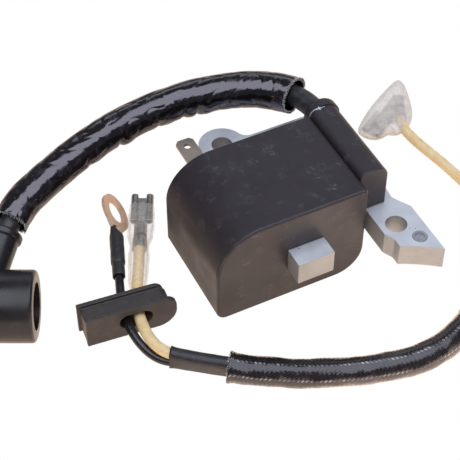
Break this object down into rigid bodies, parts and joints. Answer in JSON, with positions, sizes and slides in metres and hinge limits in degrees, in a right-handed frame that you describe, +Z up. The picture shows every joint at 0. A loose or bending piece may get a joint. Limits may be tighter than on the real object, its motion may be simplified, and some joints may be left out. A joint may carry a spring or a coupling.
{
  "type": "ignition coil",
  "caption": "Ignition module for a small engine: potted coil on a laminated steel core, sleeved high-tension lead with plug boot, and a loose stop-switch harness.",
  "frame": {"origin": "axis of the foot's mounting hole, on the underside of the steel core", "axes": "+X along the core from the coil towards the foot, +Y from the pole faces to the yoke, +Z up along the mounting holes"},
  "size_m": [0.1596, 0.0949, 0.0295],
  "materials": {
    "housing": "moulded, lightly scuffed",
    "resin": "cast resin",
    "core_steel": "ground lamination steel",
    "rivet_steel": "satin",
    "bobbin": "moulded nylon",
    "copper": "enamelled copper wire",
    "board": "solder-masked laminate",
    "component_black": "epoxy",
    "component_tan": "painted ceramic",
    "tinned_brass": "tin-washed brass",
    "spike_brass": "plain",
    "lead_rubber": "satin rubber jacket",
    "varnished_braid": "varnished woven sleeve",
    "boot_rubber": "moulded rubber",
    "spring_steel": "spring wire",
    "cream_pvc": "extruded jacket",
    "black_pvc": "extruded jacket",
    "speckled_braid": "varnished black braid with white flecks",
    "shrink_black": "heat-shrunk film",
    "ring_copper": "plain copper",
    "tinned_steel": "tin plate",
    "clear_vinyl": "soft clear vinyl",
    "grommet_rubber": "moulded rubber"
  },
  "bodies": {
    "coil": {"housing_shell": "housing", "potting_resin": "resin", "core_laminations": "core_steel", "core_rivets": "rivet_steel", "primary_bobbin": "bobbin", "primary_winding": "copper", "secondary_bobbin": "bobbin", "secondary_winding": "copper", "circuit_board": "board", "power_transistor": "component_black", "board_resistors": "component_tan", "board_capacitor": "component_tan", "trigger_diode": "component_black", "ground_clip": "tinned_brass", "kill_tab": "tinned_brass", "ht_spike": "spike_brass", "ht_lead": "lead_rubber", "ht_lead_sleeve": "varnished_braid"},
    "boot": {"plug_boot": "boot_rubber", "plug_spring": "spring_steel"},
    "harness": {"grommet": "grommet_rubber", "cream_wire": "cream_pvc", "black_wire": "black_pvc", "harness_sleeve": "speckled_braid", "harness_shrink_tube": "shrink_black", "ring_terminal": "ring_copper", "ring_shrink_sleeve": "shrink_black", "switch_terminal": "tinned_steel", "switch_terminal_sleeve": "clear_vinyl", "flag_terminal": "tinned_steel", "flag_terminal_sleeve": "clear_vinyl", "ground_ring_terminal": "ring_copper", "ground_ring_sleeve": "shrink_black"}
  },
  "joints": [
    {"name": "boot_swivel", "type": "hinge", "parent": "coil", "child": "boot", "pos_m": [-0.0884, 0.03781, 0.0032], "axis": [0.6412, 0.7064, 0.2998], "range_deg": [-90, 45]},
    {"name": "harness_lift", "type": "slide", "parent": "coil", "child": "harness", "axis": [0, 0, 1], "range_m": [0, 0.06]}
  ]
}
